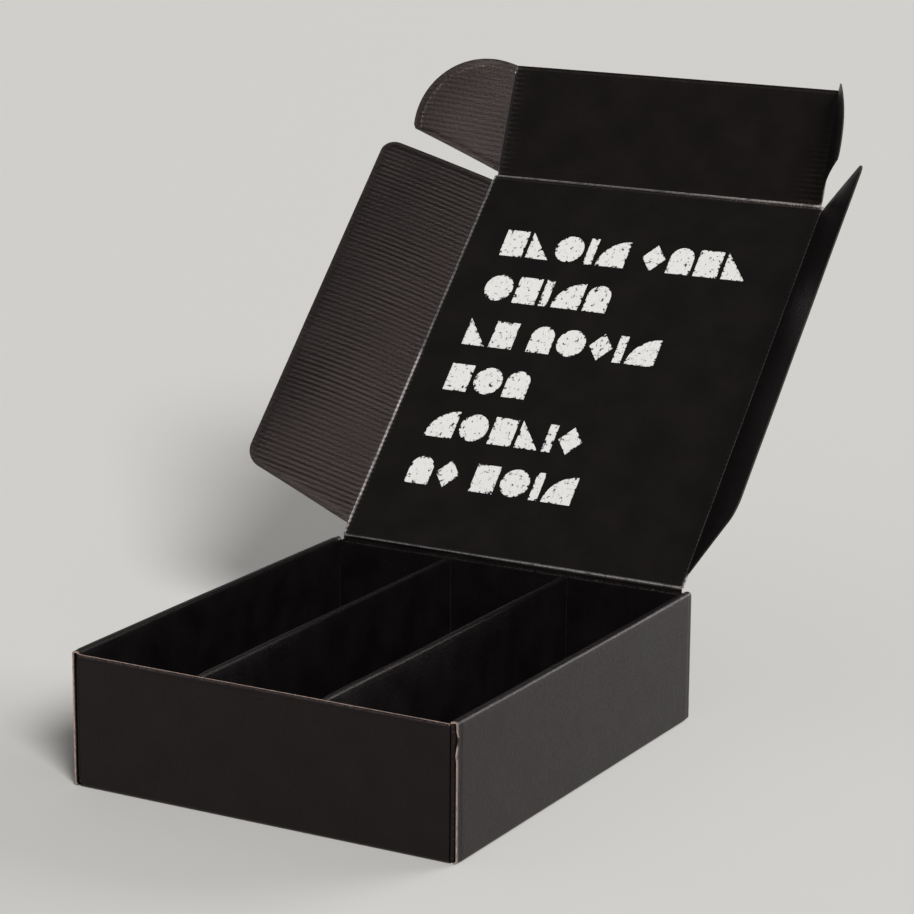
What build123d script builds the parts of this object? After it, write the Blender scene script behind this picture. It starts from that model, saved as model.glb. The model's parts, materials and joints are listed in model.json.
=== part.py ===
from build123d import *
import os
from math import radians, tan

# Gift box for three bottles, folded from black corrugated board: a tray with rolled double side walls,
# a pleated insert that makes two dividers, and a lid with two side flaps and a front tuck flap with ears.
# Millimetres. X runs along the front wall, Y towards the lid's hinge and Z up.
# The origin is the centre of the tray's underside.

# Board and the free play that folded board needs
board = 1.8                    # thickness of the corrugated board
bend = 1.5                     # radius of a fold, on the middle of the board
slack = 0.4                    # play between two sheets that lie or slide beside each other
fold_gap = 0.3                 # air between the two panels of a fold that moves

# Tray
tray_width = 290.0             # over the side walls
tray_depth = 330.0             # over the front and back walls
tray_height = 93.0             # underside to the rolled top of a side wall
rolled_wall = 6.3              # thickness of a side wall: outer panel, corner flap, inner panel
end_setback = 0.6              # raw ends of the side walls behind the faces of the front and back walls
corner_flap_length = 88.0      # flaps of the front and back walls, held inside the side walls
tab_length = 42.0              # lock tabs below each inner panel
tab_spacing = 170.0            # between the middles of the two tabs of a side
tab_lift = 0.3                 # end of a tab above the tray's underside

# Divider insert
divider_width = 5.0            # over the two walls of a pleat
divider_drop = 1.4             # top of a divider below the rolled tops
insert_play = 0.8              # insert to the side walls and to the back wall

# Lid
hinge_rise = 1.2               # hinge axis above the rolled tops
lid_lean = 46.0                # degrees above level, leaning back
lid_corner_relief = 2.5        # cut away at each end of the front fold

# Side flaps of the lid
side_flap_depth = 90.0
side_flap_heel = 10.0          # hinge axis to the start of a side flap
side_flap_heel_taper = 18.0    # how far the end beside the hinge slants over the flap's depth
side_flap_toe = 4.0            # front fold to the end of a side flap
side_flap_heel_round = 15.0
side_flap_toe_round = 12.0
left_flap_fold = 30.0          # degrees folded in from the plane of the lid
right_flap_fold = 53.0

# Front flap and its ears
front_flap_depth = 88.0
front_flap_fold = 24.0         # degrees folded in from the plane of the lid
ear_round = 57.5               # radius of an ear's curved edge
ear_round_out = 14.0           # middle of that curve, out from the ear's fold
ear_round_up = 32.0            # middle of that curve, up from the front fold
ear_start = 3.4                # lower edge of an ear above the front fold, at the ear's fold
ear_slant = 17.5               # degrees that the lower edge rises outwards
ear_tip_round = 3.0
left_ear_fold = 28.0           # degrees folded in from the plane of the front flap
right_ear_fold = 60.0

# Places that follow from the sizes above
half_board = board / 2
panel_start = half_board + fold_gap                      # fold axis to the panel that swings about it
outer_x = tray_width / 2 - half_board                    # middle of an outer side panel
inner_x = tray_width / 2 - rolled_wall + half_board      # middle of an inner side panel
inside_x = tray_width / 2 - rolled_wall                  # inner face of a side wall
corner_flap_x = (outer_x + inner_x) / 2
end_wall_y = tray_depth / 2 - half_board                 # middle of the front and back walls
side_wall_length = tray_depth - 2 * end_setback
end_wall_top = tray_height - board - slack
hinge_y = end_wall_y
hinge_z = tray_height + hinge_rise
side_fold_x = inside_x - slack - half_board
ear_fold_x = side_fold_x - board - slack
lid_length = hinge_y + end_wall_y - board - slack        # hinge axis to the front fold
divider_x = inside_x / 3 + divider_width / 6             # three bays of one width
insert_back = tray_depth / 2 - board - insert_play
insert_front = board + 2 * slack + board - tray_depth / 2  # leaves room for the tucked front flap


def folded_sheet(corners, width, across):
    """Board that follows a folded centre line, as wide as given along the axis `across`."""
    centre_line = FilletPolyline(*corners, radius=bend)
    start = Plane(origin=centre_line @ 0, x_dir=across, z_dir=centre_line % 0)
    return sweep(start * Rectangle(width, board), path=centre_line)


def flat_sheet(outline):
    """Board of a flat outline, with its middle in the outline's plane."""
    return extrude(outline, amount=half_board, both=True)


def bead(length):
    """Rounded edge of a panel about the axis of its fold, lying along X."""
    return Rot(0, 90, 0) * Cylinder(half_board, length)


def rolled_side_walls():
    """Floor and side walls: each outer panel rolls over at the top and comes down as the inner panel."""
    foot = board + slack
    floor_z = half_board
    top_z = tray_height - half_board
    left = [(-inner_x, foot), (-inner_x, top_z), (-outer_x, top_z), (-outer_x, floor_z)]
    right = [(-x, z) for x, z in reversed(left)]
    return folded_sheet([(x, 0, z) for x, z in left + right], side_wall_length, (0, 1, 0))


def end_wall(top):
    """Front wall folded up from the floor, with its two corner flaps folded back along the sides."""
    straight = 2 * (corner_flap_x - bend)
    inboard = tray_depth / 2 - rolled_wall * 2
    wall = folded_sheet(
        [(0, -inboard, half_board), (0, -end_wall_y, half_board), (0, -end_wall_y, top)], straight, (1, 0, 0)
    )
    foot = board + slack
    flap_height = end_wall_top - foot
    flap_end = corner_flap_length - end_wall_y
    middle_z = foot + flap_height / 2
    for side in (-1, 1):
        corners = [
            (side * (corner_flap_x - 2 * bend), -end_wall_y, middle_z),
            (side * corner_flap_x, -end_wall_y, middle_z),
            (side * corner_flap_x, flap_end, middle_z),
        ]
        wall += folded_sheet(corners, flap_height, (0, 0, 1))
    return wall


def lock_tabs(thickness, length, bottom):
    """Blocks where the inner panels reach down through the floor."""
    height = board + slack + half_board - bottom
    blocks = [
        Pos(side_x, tab_y, bottom + height / 2) * Box(thickness, length, height)
        for side_x in (-inner_x, inner_x)
        for tab_y in (-tab_spacing / 2, tab_spacing / 2)
    ]
    return Part() + blocks


def tray():
    """One folded sheet: floor, rolled side walls with lock tabs, and front and back walls."""
    sides = rolled_side_walls()
    fold_reach = half_board + bend
    strip = Box(2 * (outer_x - bend), fold_reach, 2 * board)
    inner_end = Box(board + slack, board + slack, end_wall_top)
    for end in (-1, 1):
        sides -= Pos(0, end * (tray_depth - fold_reach) / 2, 0) * strip
        for side_x in (-inner_x, inner_x):
            end_y = end * (tray_depth / 2 - (board + slack) / 2)
            sides -= Pos(side_x, end_y, end_wall_top / 2 + slack) * inner_end
    sides -= lock_tabs(board + slack, tab_length + 2 * slack, -slack)
    body = sides + end_wall(end_wall_top) + Rot(0, 0, 180) * end_wall(end_wall_top)
    raised = 2 * side_fold_x
    rise = hinge_z - end_wall_top + bend
    body += Pos(0, hinge_y, hinge_z - rise / 2) * Box(raised, board, rise)
    body += Pos(0, hinge_y, hinge_z) * bead(raised)
    return body + lock_tabs(board, tab_length, tab_lift)


def divider_insert():
    """One pleated sheet on the tray's floor, with two pleats that stand up as the dividers."""
    pad_z = board + half_board
    top_z = tray_height - divider_drop - half_board
    pleat = (divider_width - board) / 2
    edge = inside_x - insert_play
    line = [(-edge, pad_z)]
    for middle in (-divider_x, divider_x):
        line += [(middle - pleat, pad_z), (middle - pleat, top_z)]
        line += [(middle + pleat, top_z), (middle + pleat, pad_z)]
    line.append((edge, pad_z))
    middle_y = (insert_front + insert_back) / 2
    return folded_sheet([(x, middle_y, z) for x, z in line], insert_back - insert_front, (0, 1, 0))


def lid_panel():
    """Top of the box, laid flat behind the hinge with its inside up."""
    length = lid_length - panel_start
    panel = Pos(0, panel_start + length / 2) * Box(2 * side_fold_x, length, board)
    fold_length = lid_length - side_flap_heel - side_flap_toe
    fold_middle = side_flap_heel + fold_length / 2
    for fold_x in (-side_fold_x, side_fold_x):
        panel += Pos(fold_x, fold_middle) * Rot(0, 0, 90) * bead(fold_length)
    return panel + Pos(0, lid_length) * bead(2 * (side_fold_x - lid_corner_relief))


def side_flap():
    """Right side flap in the plane of the lid, with its fold on the Y axis."""
    toe = lid_length - side_flap_toe
    outline = make_face(
        Polyline(
            (panel_start, side_flap_heel),
            (side_flap_depth, side_flap_heel + side_flap_heel_taper),
            (side_flap_depth, toe),
            (panel_start, toe),
            close=True,
        )
    )
    heel_corner, toe_corner = outline.vertices().group_by(Axis.X)[-1].sort_by(Axis.Y)
    outline = fillet(heel_corner, side_flap_heel_round)
    toe_corner = outline.vertices().sort_by_distance(toe_corner)[0]
    return flat_sheet(fillet(toe_corner, side_flap_toe_round))


def front_flap():
    """Tuck flap in the plane of the lid, with its fold on the X axis."""
    height = front_flap_depth - panel_start
    flap = Pos(0, panel_start + height / 2) * Box(2 * ear_fold_x, height, board)
    fold_length = front_flap_depth - ear_start
    fold_middle = ear_start + fold_length / 2
    for fold_x in (-ear_fold_x, ear_fold_x):
        flap += Pos(fold_x, fold_middle) * Rot(0, 0, 90) * bead(fold_length)
    return flap


def tuck_ear():
    """Right ear in the plane of the front flap, with its fold on the Y axis."""
    reach = ear_round_out + ear_round
    disc = Pos(ear_round_out, ear_round_up) * Circle(ear_round)
    window = make_face(
        Polyline(
            (panel_start, ear_start),
            (reach, ear_start + reach * tan(radians(ear_slant))),
            (reach, 2 * reach),
            (panel_start, 2 * reach),
            close=True,
        )
    )
    outline = disc & window
    tip = outline.vertices().sort_by(Axis.X)[-1]
    return flat_sheet(fillet(tip, ear_tip_round))


lid_place = Pos(0, hinge_y, hinge_z) * Rot(lid_lean, 0, 0)
left_flap_place = lid_place * Pos(-side_fold_x) * Rot(0, left_flap_fold, 0)
right_flap_place = lid_place * Pos(side_fold_x) * Rot(0, -right_flap_fold, 0)
front_flap_place = lid_place * Pos(0, lid_length) * Rot(front_flap_fold, 0, 0)
left_ear_place = front_flap_place * Pos(-ear_fold_x) * Rot(0, left_ear_fold, 0)
right_ear_place = front_flap_place * Pos(ear_fold_x) * Rot(0, -right_ear_fold, 0)

nodes = {
    "tray": tray(),
    "divider_insert": divider_insert(),
    "lid_panel": lid_place * lid_panel(),
    "lid_side_flap_left": left_flap_place * mirror(side_flap(), Plane.YZ),
    "lid_side_flap_right": right_flap_place * side_flap(),
    "lid_front_flap": front_flap_place * front_flap(),
    "tuck_ear_left": left_ear_place * mirror(tuck_ear(), Plane.YZ),
    "tuck_ear_right": right_ear_place * tuck_ear(),
}

os.makedirs("parts", exist_ok=True)
for name, shape in nodes.items():
    shape.label = name
    export_step(shape, f"parts/{name}.step")
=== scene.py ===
import json
import math
from functools import partial

import bpy
from bpy.props import FloatProperty, FloatVectorProperty, PointerProperty
from bpy.types import Operator, Panel, PropertyGroup
from mathutils import Matrix, Vector, noise
from mathutils.geometry import intersect_point_line


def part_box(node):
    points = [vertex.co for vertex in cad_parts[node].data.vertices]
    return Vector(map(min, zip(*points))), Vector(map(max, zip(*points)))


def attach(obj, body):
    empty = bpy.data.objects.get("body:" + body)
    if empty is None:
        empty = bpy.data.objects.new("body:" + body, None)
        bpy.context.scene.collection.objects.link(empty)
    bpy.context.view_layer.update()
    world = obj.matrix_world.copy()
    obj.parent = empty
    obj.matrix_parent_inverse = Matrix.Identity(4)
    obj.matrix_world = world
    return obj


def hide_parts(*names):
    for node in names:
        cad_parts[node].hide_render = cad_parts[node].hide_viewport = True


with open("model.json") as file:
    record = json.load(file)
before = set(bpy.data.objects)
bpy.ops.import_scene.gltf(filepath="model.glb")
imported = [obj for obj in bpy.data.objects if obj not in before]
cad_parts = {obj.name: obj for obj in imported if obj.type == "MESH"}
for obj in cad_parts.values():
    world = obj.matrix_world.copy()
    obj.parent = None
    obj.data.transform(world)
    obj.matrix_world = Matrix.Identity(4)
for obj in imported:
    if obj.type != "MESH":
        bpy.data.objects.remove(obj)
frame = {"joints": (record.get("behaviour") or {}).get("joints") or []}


bl_info = {
    "name": "Bottle Gift Box",
    "version": (1, 0, 0),
    "blender": (4, 5, 0),
    "location": "3D View > Sidebar > Gift Box",
    "description": "Dresses an open gift box of black corrugated board, with its tray, dividers, lid and flaps",
    "category": "Object",
}

MM = 0.001
JOINTS = {joint["name"]: joint for joint in frame["joints"]}


def linear(hex_colour):
    """Linear RGBA of an sRGB hex colour."""
    channels = [int(hex_colour[i:i + 2], 16) / 255 for i in (1, 3, 5)]
    return [c / 12.92 if c <= 0.04045 else ((c + 0.055) / 1.055) ** 2.4 for c in channels] + [1.0]


# Places of the folds, from the joints of the frame

def fold_point(joint):
    return Vector(JOINTS[joint]["pos_m"]) / MM


def fold_angle(joint):
    """How far a panel stands folded in from the plane of the panel that carries it, in radians."""
    return math.radians(-JOINTS[joint]["range_deg"][0])


def placed(point, x_axis, y_axis):
    """Matrix of a frame whose axes are given, at a point in millimetres."""
    z_axis = x_axis.cross(y_axis)
    turn = Matrix((x_axis, y_axis, z_axis)).transposed().to_4x4()
    return Matrix.Translation(point) @ turn


HINGE = fold_point("lid_hinge")
LID_FRAME = placed(HINGE, Vector((1, 0, 0)), Vector(JOINTS["left_side_flap_fold"]["axis"]).normalized())
SIDE_FOLD_X = fold_point("right_side_flap_fold").x
LID_LENGTH = (fold_point("front_flap_fold") - HINGE).length
FRONT_FRAME = LID_FRAME @ Matrix.Translation((0, LID_LENGTH, 0)) @ Matrix.Rotation(
    fold_angle("front_flap_fold"), 4, "X")
EAR_FOLD_X = fold_point("right_ear_fold").x
# How much the flutes show through on a panel's front and back.
LID_RIDGES = (0.3, 0.3)
FLAP_RIDGES = (0.85, 0.3)
EAR_RIDGES = (0.55, 0.3)
TRAY_RIDGES = (0.08, 0.08)
FRONT_RIDGES = (0.7, 0.3)
TRAY_LOW, TRAY_HIGH = (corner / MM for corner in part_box("tray"))
INSERT_LOW, INSERT_HIGH = (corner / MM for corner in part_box("divider_insert"))


def swung(parent, fold_x, angle):
    """Frame of a flap with its fold along Y and X pointing away from the fold, in the plane of the flap."""
    side = math.copysign(1, fold_x)
    mirror = Matrix.Diagonal((side, 1, 1, 1))
    return parent @ Matrix.Translation((fold_x, 0, 0)) @ mirror @ Matrix.Rotation(-angle, 4, "Y")


# Settings that a user would change

class BoardSizes(PropertyGroup):
    """Sizes of the board and of the cut sheet, in millimetres."""
    board: FloatProperty(
        name="Board", description="Thickness of the corrugated board, mm", default=1.8, min=0.8)
    flute: FloatProperty(
        name="Flute pitch", description="Distance between two flutes, mm", default=3.9, min=2.0)
    ridge: FloatProperty(
        name="Ridge height", description="How far the liner rises over a flute, mm", default=0.1)
    bend: FloatProperty(
        name="Bend", description="Radius of a fold on the middle of the board, mm", default=1.5)
    bow: FloatProperty(name="Bow", description="How far a swinging flap bows inwards, mm", default=3.2)
    waviness: FloatProperty(
        name="Waviness", description="How far a swinging flap waves in and out, mm", default=1.4)
    uneven: FloatProperty(
        name="Uneven flutes", description="How much the ridges vary from place to place", default=0.8)
    crush: FloatProperty(
        name="Crushed margin", description="Width pressed flat along a cut edge, mm", default=6.5)
    crack_width: FloatProperty(
        name="Crack width", description="Width of cracked print on each side of a fold, mm", default=0.7)
    score_from: FloatProperty(
        name="Score place", description="Fold to the groove that the score leaves beside it, mm", default=2.3)
    score_depth: FloatProperty(name="Score depth", description="Depth of that groove, mm", default=0.25)
    wall: FloatProperty(name="Side wall", description="Thickness of a rolled side wall, mm", default=6.3)
    roll_top: FloatProperty(
        name="Rolled top", description="Height of the rolled side walls, mm", default=93.0)
    end_top: FloatProperty(
        name="End wall top", description="Height of the front wall's cut edge, mm", default=90.8)
    corner_round: FloatProperty(
        name="Corner round", description="Bend of a corner flap's fold, mm", default=2.6)
    corner_flap: FloatProperty(name="Corner flap", description="Length of a corner flap, mm", default=88.0)
    tab: FloatProperty(name="Lock tab", description="Length of a lock tab, mm", default=42.0)
    tab_spacing: FloatProperty(name="Tab spacing", description="Between two tabs' middles, mm", default=170.0)
    divider: FloatProperty(name="Divider", description="Thickness of a divider's pleat, mm", default=5.0)
    flap_depth: FloatProperty(name="Side flap depth", description="Fold to the outer edge, mm", default=90.0)
    flap_heel: FloatProperty(
        name="Side flap heel", description="Hinge to the start of a side flap, mm", default=10.0)
    heel_taper: FloatProperty(
        name="Heel taper", description="Slant of the end beside the hinge, mm", default=18.0)
    heel_round: FloatProperty(
        name="Heel round", description="Radius of the corner near the hinge, mm", default=15.0)
    flap_toe: FloatProperty(
        name="Side flap toe", description="Front fold to the end of a side flap, mm", default=4.0)
    toe_round: FloatProperty(
        name="Toe round", description="Radius of the corner near the front, mm", default=12.0)
    front_depth: FloatProperty(name="Front flap depth", description="Fold to the free edge, mm", default=88.0)
    ear_round: FloatProperty(name="Ear curve", description="Radius of an ear's curved edge, mm", default=57.5)
    ear_out: FloatProperty(
        name="Ear centre out", description="Curve's middle from the ear's fold, mm", default=14.0)
    ear_up: FloatProperty(
        name="Ear centre up", description="Curve's middle above the front fold, mm", default=32.0)
    ear_start: FloatProperty(name="Ear start", description="Lower edge above the front fold, mm", default=3.4)
    ear_slant: FloatProperty(
        name="Ear slant", description="Rise of the lower edge outwards, degrees", default=17.5)


class BoardColours(PropertyGroup):
    """Colours of the print, the ink and the bare board."""
    ink_black: FloatVectorProperty(
        name="Black print", description="Black print on the liner", subtype="COLOR", size=4,
        default=linear("#0c0a0b"))
    paler_print: FloatVectorProperty(
        name="Cloudy print", description="Print where the coat is thinner", subtype="COLOR", size=4,
        default=linear("#2a2523"))
    # Paler print on the flute tops: ink worn thin, and painted highlight where it stands for glints.
    thinned_print_and_glints: FloatVectorProperty(
        name="Thinned print", description="Print worn thin on top of the flutes", subtype="COLOR", size=4,
        default=linear("#6b6260"))
    kraft: FloatVectorProperty(
        name="Bare board", description="Cut edge of unprinted board", subtype="COLOR", size=4,
        default=linear("#c8ada0"))
    kraft_shade: FloatVectorProperty(
        name="Flute opening", description="Shade inside an open flute", subtype="COLOR", size=4,
        default=linear("#4c3a30"))
    # Pale beads along a fold: cracked print, and painted highlight for the glints along the rolled fold.
    cracks_and_glints: FloatVectorProperty(
        name="Cracked fold", description="Pale fibres where a fold has cracked the print",
        subtype="COLOR", size=4,
        default=linear("#dad4d1"))
    ink_white: FloatVectorProperty(
        name="White print", description="White print inside the lid", subtype="COLOR", size=4,
        default=linear("#e4e2df"))
    floor: FloatVectorProperty(
        name="Floor", description="Plain floor under the box",
        subtype="COLOR", size=4, default=linear("#d5d3cf"))


# Materials

# The two colour inputs of a mix node, by number.
FIRST, SECOND = 6, 7


def set_inputs(tree, node, inputs):
    """Joins each input, by name or number, to a socket or to a node's result, or sets it to a value."""
    for key, value in inputs.items():
        if isinstance(value, bpy.types.Node):
            value = next(socket for socket in value.outputs if socket.enabled)
        if isinstance(value, bpy.types.NodeSocket):
            tree.links.new(value, node.inputs[key])
        else:
            node.inputs[key].default_value = value


def add_node(tree, kind, inputs=None, **settings):
    """Adds a node with its settings and links."""
    node = tree.nodes.new(f"ShaderNode{kind}")
    for key, value in settings.items():
        setattr(node, key, value)
    set_inputs(tree, node, inputs or {})
    return node


def new_material(name):
    """A material, with a function that adds a node to it and one that sets its shader's inputs."""
    material = bpy.data.materials.new(name)
    material.use_nodes = True
    tree = material.node_tree
    return material, partial(add_node, tree), partial(set_inputs, tree, tree.nodes["Principled BSDF"])


def board_maps(add):
    """Place on the cut sheet in metres, and how worn the board is there, in a map that also holds painted
    highlight for glints.
    """
    return add("UVMap", uv_map="sheet"), add("Attribute", attribute_name="wear").outputs["Fac"]


def per_metre(size_mm):
    """Noise scale whose features are about as wide as given."""
    return 1 / (size_mm * MM)


def flute_wave(add, sheet, pitch_mm):
    """1 along the top of each flute's ridge and 0 between the ridges."""
    split = add("SeparateXYZ", {"Vector": sheet})
    turns = add("Math", {0: split.outputs["Y"], 1: math.tau / (pitch_mm * MM)}, operation="MULTIPLY")
    wave = add("Math", {0: turns}, operation="COSINE")
    return add("MapRange", {"Value": wave, "From Min": -1.0})


def printed_liner(name, colours, sizes):
    """Kraft liner with a flood coat of matt black flexo ink. The eye gets a near black that turns to a soft
    brownish sheen at low angles, with fine fibres under the ink, and paler print along the tops of the flutes
    where the wear map is high: ink rubbed thinner, and in places painted highlight that stands for glints."""
    material, add, surface = new_material(name)
    sheet, worn_and_glints = board_maps(add)
    ridge = flute_wave(add, sheet, sizes.flute)
    cloud = add("TexNoise", {"Vector": sheet, "Scale": per_metre(30), "Detail": 3.0})
    # Real fibres are under 0.1 mm wide. These are drawn over ten times as coarse, so that they show.
    along = add("Mapping", {"Vector": sheet, "Scale": (0.4, 1.0, 1.0)})
    fibre = add("TexNoise", {"Vector": along, "Scale": per_metre(1.2), "Detail": 6.0, "Roughness": 0.7})
    across = add("Mapping", {"Vector": sheet, "Scale": (1.0, 0.4, 1.0)})
    hatch = add("TexNoise", {"Vector": across, "Scale": per_metre(2.0), "Detail": 5.0, "Roughness": 0.7})

    clouded = add("MapRange", {"Value": cloud, "From Min": 0.35, "From Max": 0.7, "To Max": 0.12})
    tone = add("Mix", {"Factor": clouded, FIRST: colours.ink_black, SECOND: colours.paler_print}, data_type="RGBA")
    crest = add("MapRange", {"Value": ridge, "From Min": 0.55, "To Max": 0.8})
    thin = add("MapRange", {"Value": fibre, "From Min": 0.38, "From Max": 0.6})
    # Paler flute tops where the wear-and-glints map is high: ink rubbed thin, and painted highlight where the
    # map holds glints.
    crest_wear_and_glints = add("Math", {0: crest, 1: worn_and_glints}, operation="MULTIPLY")
    paler_print = add("Math", {0: crest_wear_and_glints, 1: thin}, operation="MULTIPLY")
    tone = add("Mix", {"Factor": paler_print, FIRST: tone, SECOND: colours.thinned_print_and_glints}, data_type="RGBA")
    fleck = add("TexNoise", {"Vector": sheet, "Scale": per_metre(1.0), "Detail": 4.0})
    chipped = add("MapRange", {"Value": fleck, "From Min": 0.56, "From Max": 0.66})
    scuffed = add("MapRange", {"Value": worn_and_glints, "From Min": 0.45})
    bare = add("Math", {0: chipped, 1: scuffed}, operation="MULTIPLY")
    tone = add("Mix", {"Factor": bare, FIRST: tone, SECOND: colours.kraft}, data_type="RGBA")

    satin = add("MapRange", {"Value": cloud, "From Min": 0.35, "From Max": 0.68, "To Min": 0.25, "To Max": 0.34})
    gloss = add("Math", {0: fibre, 1: 0.12, 2: satin}, operation="MULTIPLY_ADD")
    weave = add("Math", {0: fibre, 1: hatch}, operation="ADD")
    relief = add("Bump", {"Height": weave, "Strength": 1.0, "Distance": 0.32 * MM})
    surface({"Base Color": tone, "Roughness": gloss, "Normal": relief, "Specular IOR Level": 0.25,
             "Specular Tint": linear("#f0dad4")})
    return material


def cracked_fold_and_glints(name, colours, sizes):
    """The same print where a crease was bent. The ink cracks, and pale torn fibres show in a broken line of
    beads, most over the flutes; these pale beads are also painted highlight, for glints along the rolled fold."""
    material, add, surface = new_material(name)
    sheet, worn_and_glints = board_maps(add)
    ridge = flute_wave(add, sheet, sizes.flute)
    stretched = add("Mapping", {"Vector": sheet, "Scale": (1.0, 0.5, 1.0)})
    crack = add("TexNoise", {"Vector": stretched, "Scale": per_metre(1.3), "Detail": 6.0, "Roughness": 0.75})
    patch = add("TexNoise", {"Vector": sheet, "Scale": per_metre(12), "Detail": 2.0})
    patched = add("MapRange", {"Value": patch, "From Min": 0.3, "From Max": 0.5, "To Min": 0.3})
    torn = add("MapRange", {"Value": crack, "From Min": 0.36, "From Max": 0.54, "To Min": 0.25})
    crest = add("MapRange", {"Value": ridge, "To Min": 0.45})
    open_crack = add("Math", {0: torn, 1: patched}, operation="MULTIPLY")
    on_crest = add("Math", {0: open_crack, 1: crest}, operation="MULTIPLY")
    # The pale beads over the flutes are cracked print and painted highlight.
    bare = add("Math", {0: on_crest, 1: worn_and_glints}, operation="MULTIPLY")
    tone = add("Mix", {"Factor": bare, FIRST: colours.ink_black, SECOND: colours.cracks_and_glints}, data_type="RGBA")
    relief = add("Bump", {"Height": crack, "Strength": 0.7, "Distance": 0.12 * MM})
    surface({"Base Color": tone, "Roughness": 0.6, "Normal": relief, "Specular IOR Level": 0.25})
    return material


def cut_edge(name, colours, sizes, across):
    """Die-cut edge of kraft corrugated board. The eye gets two pale liners, with open flutes between them
    where the cut crosses the flutes, and a ragged shaded gap where it runs along them. Ink that the die drew
    over the edge darkens it, except where it is rubbed clean."""
    material, add, surface = new_material(name)
    sheet, worn_and_glints = board_maps(add)
    split = add("SeparateXYZ", {"Vector": sheet})
    depth = add("Math", {0: split.outputs["Y"]}, operation="ABSOLUTE")
    half = sizes.board * MM / 2
    core = add("MapRange", {"Value": depth, "From Min": half * 0.62, "From Max": half * 0.5})
    if across:
        turn = math.tau / (sizes.flute * MM)
        turns = add("Math", {0: split.outputs["X"], 1: turn}, operation="MULTIPLY")
        wave = add("Math", {0: turns}, operation="SINE")
        medium = add("Math", {0: wave, 1: half * 0.55}, operation="MULTIPLY")
        away = add("Math", {0: split.outputs["Y"], 1: medium}, operation="SUBTRACT")
        distance = add("Math", {0: away}, operation="ABSOLUTE")
        opening = add("MapRange", {"Value": distance, "From Min": half * 0.16, "From Max": half * 0.34})
    else:
        drawn = add("Mapping", {"Vector": sheet, "Scale": (0.5, 3.0, 1.0)})
        ragged = add("TexNoise", {"Vector": drawn, "Scale": per_metre(2.2), "Detail": 4.0})
        opening = add("MapRange", {"Value": ragged, "From Min": 0.42, "From Max": 0.62})
    grain = add("TexNoise", {"Vector": sheet, "Scale": per_metre(0.8), "Detail": 5.0})
    grained = add("MapRange", {"Value": grain, "From Min": 0.35, "From Max": 0.85})
    paper = add("Mix", {"Factor": grained, FIRST: colours.kraft, SECOND: colours.kraft_shade}, data_type="RGBA")
    shaded = add("Math", {0: opening, 1: core}, operation="MULTIPLY")
    board = add("Mix", {"Factor": shaded, FIRST: paper, SECOND: colours.kraft_shade}, data_type="RGBA")
    inked = add("MapRange", {"Value": worn_and_glints, "From Min": 0.15, "From Max": 0.65, "To Min": 0.92, "To Max": 0.0})
    tone = add("Mix", {"Factor": inked, FIRST: board, SECOND: colours.ink_black}, data_type="RGBA")
    relief = add("Bump", {"Height": grain, "Strength": 0.8, "Distance": 0.1 * MM})
    surface({"Base Color": tone, "Roughness": 0.9, "Normal": relief})
    return material


def worn_ink(name, colours):
    """White screen ink over the black. The eye gets a chalky white with ragged edges and small chips and
    scratches where the ink missed the board."""
    material, add, surface = new_material(name)
    sheet, rim = board_maps(add)
    chip = add("TexNoise", {"Vector": sheet, "Scale": per_metre(4.2), "Detail": 6.0, "Roughness": 0.7})
    scratched = add("Mapping", {"Vector": sheet, "Rotation": (0.0, 0.0, 0.5), "Scale": (1.0, 0.3, 1.0)})
    scratch = add("TexNoise", {"Vector": scratched, "Scale": per_metre(1.5), "Detail": 5.0, "Roughness": 0.7})
    edge = add("Math", {0: rim, 1: 0.09}, operation="MULTIPLY")
    left = add("Math", {0: chip, 1: edge}, operation="SUBTRACT")
    whole = add("MapRange", {"Value": left, "From Min": 0.38, "From Max": 0.41})
    unscratched = add("MapRange", {"Value": scratch, "From Min": 0.35, "From Max": 0.39, "To Min": 0.1})
    cover = add("Math", {0: whole, 1: unscratched}, operation="MULTIPLY")
    tone = add("Mix", {"Factor": cover, FIRST: colours.ink_black, SECOND: colours.ink_white}, data_type="RGBA")
    relief = add("Bump", {"Height": cover, "Strength": 0.4, "Distance": 0.04 * MM})
    surface({"Base Color": tone, "Roughness": 0.75, "Normal": relief, "Specular IOR Level": 0.25})
    return material


def board_finishes(context):
    """The finishes of a piece of board, each made once: print, fold and the two cut edges."""
    colours, sizes = context.scene.box_colours, context.scene.box_sizes
    makers = {
        "matt_black_print": partial(printed_liner, colours=colours, sizes=sizes),
        "cracked_print_at_fold": partial(cracked_fold_and_glints, colours=colours, sizes=sizes),
        "kraft_edge_across_flutes": partial(cut_edge, colours=colours, sizes=sizes, across=True),
        "kraft_edge_along_flutes": partial(cut_edge, colours=colours, sizes=sizes, across=False),
    }
    return [bpy.data.materials.get(name) or make(name) for name, make in makers.items()]


PRINT, FOLD, ACROSS, ALONG = range(4)


# Shares and noise that the board's shapes use

def fade(distance, reach):
    """1 at no distance, falling evenly to 0 at the reach."""
    return max(0.0, 1 - distance / reach)


def hump(x, middle, width, power=2):
    """1 at the middle, falling smoothly to nothing on both sides."""
    return math.exp(-((x - middle) / width) ** power)


def unevenness(u, v, width, length, seed):
    """Smooth noise between -1 and 1, with features about as wide and long as given."""
    return noise.noise(Vector((u / width, v / length, seed)))


# Building board

SIDES = ("u0", "u1", "v0", "v1")
ALL_JOINED = dict.fromkeys(SIDES, "joined")
# Shares of the crushed margin at which a row has vertices, from the cut edge inwards.
MARGIN_STEPS = (0, 0.105, 0.3, 0.6, 0.85, 1.0)
# How much of the board's thickness the die takes at a cut edge, and the wear that it leaves there.
CRUSHED, CRUSH_WEAR = 0.42, 0.15
# Millimetres beside a fold over which the flutes are pressed flat, and the width of a score's groove.
FOLD_REACH, SCORE_WIDTH = 2.5, 0.9

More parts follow.
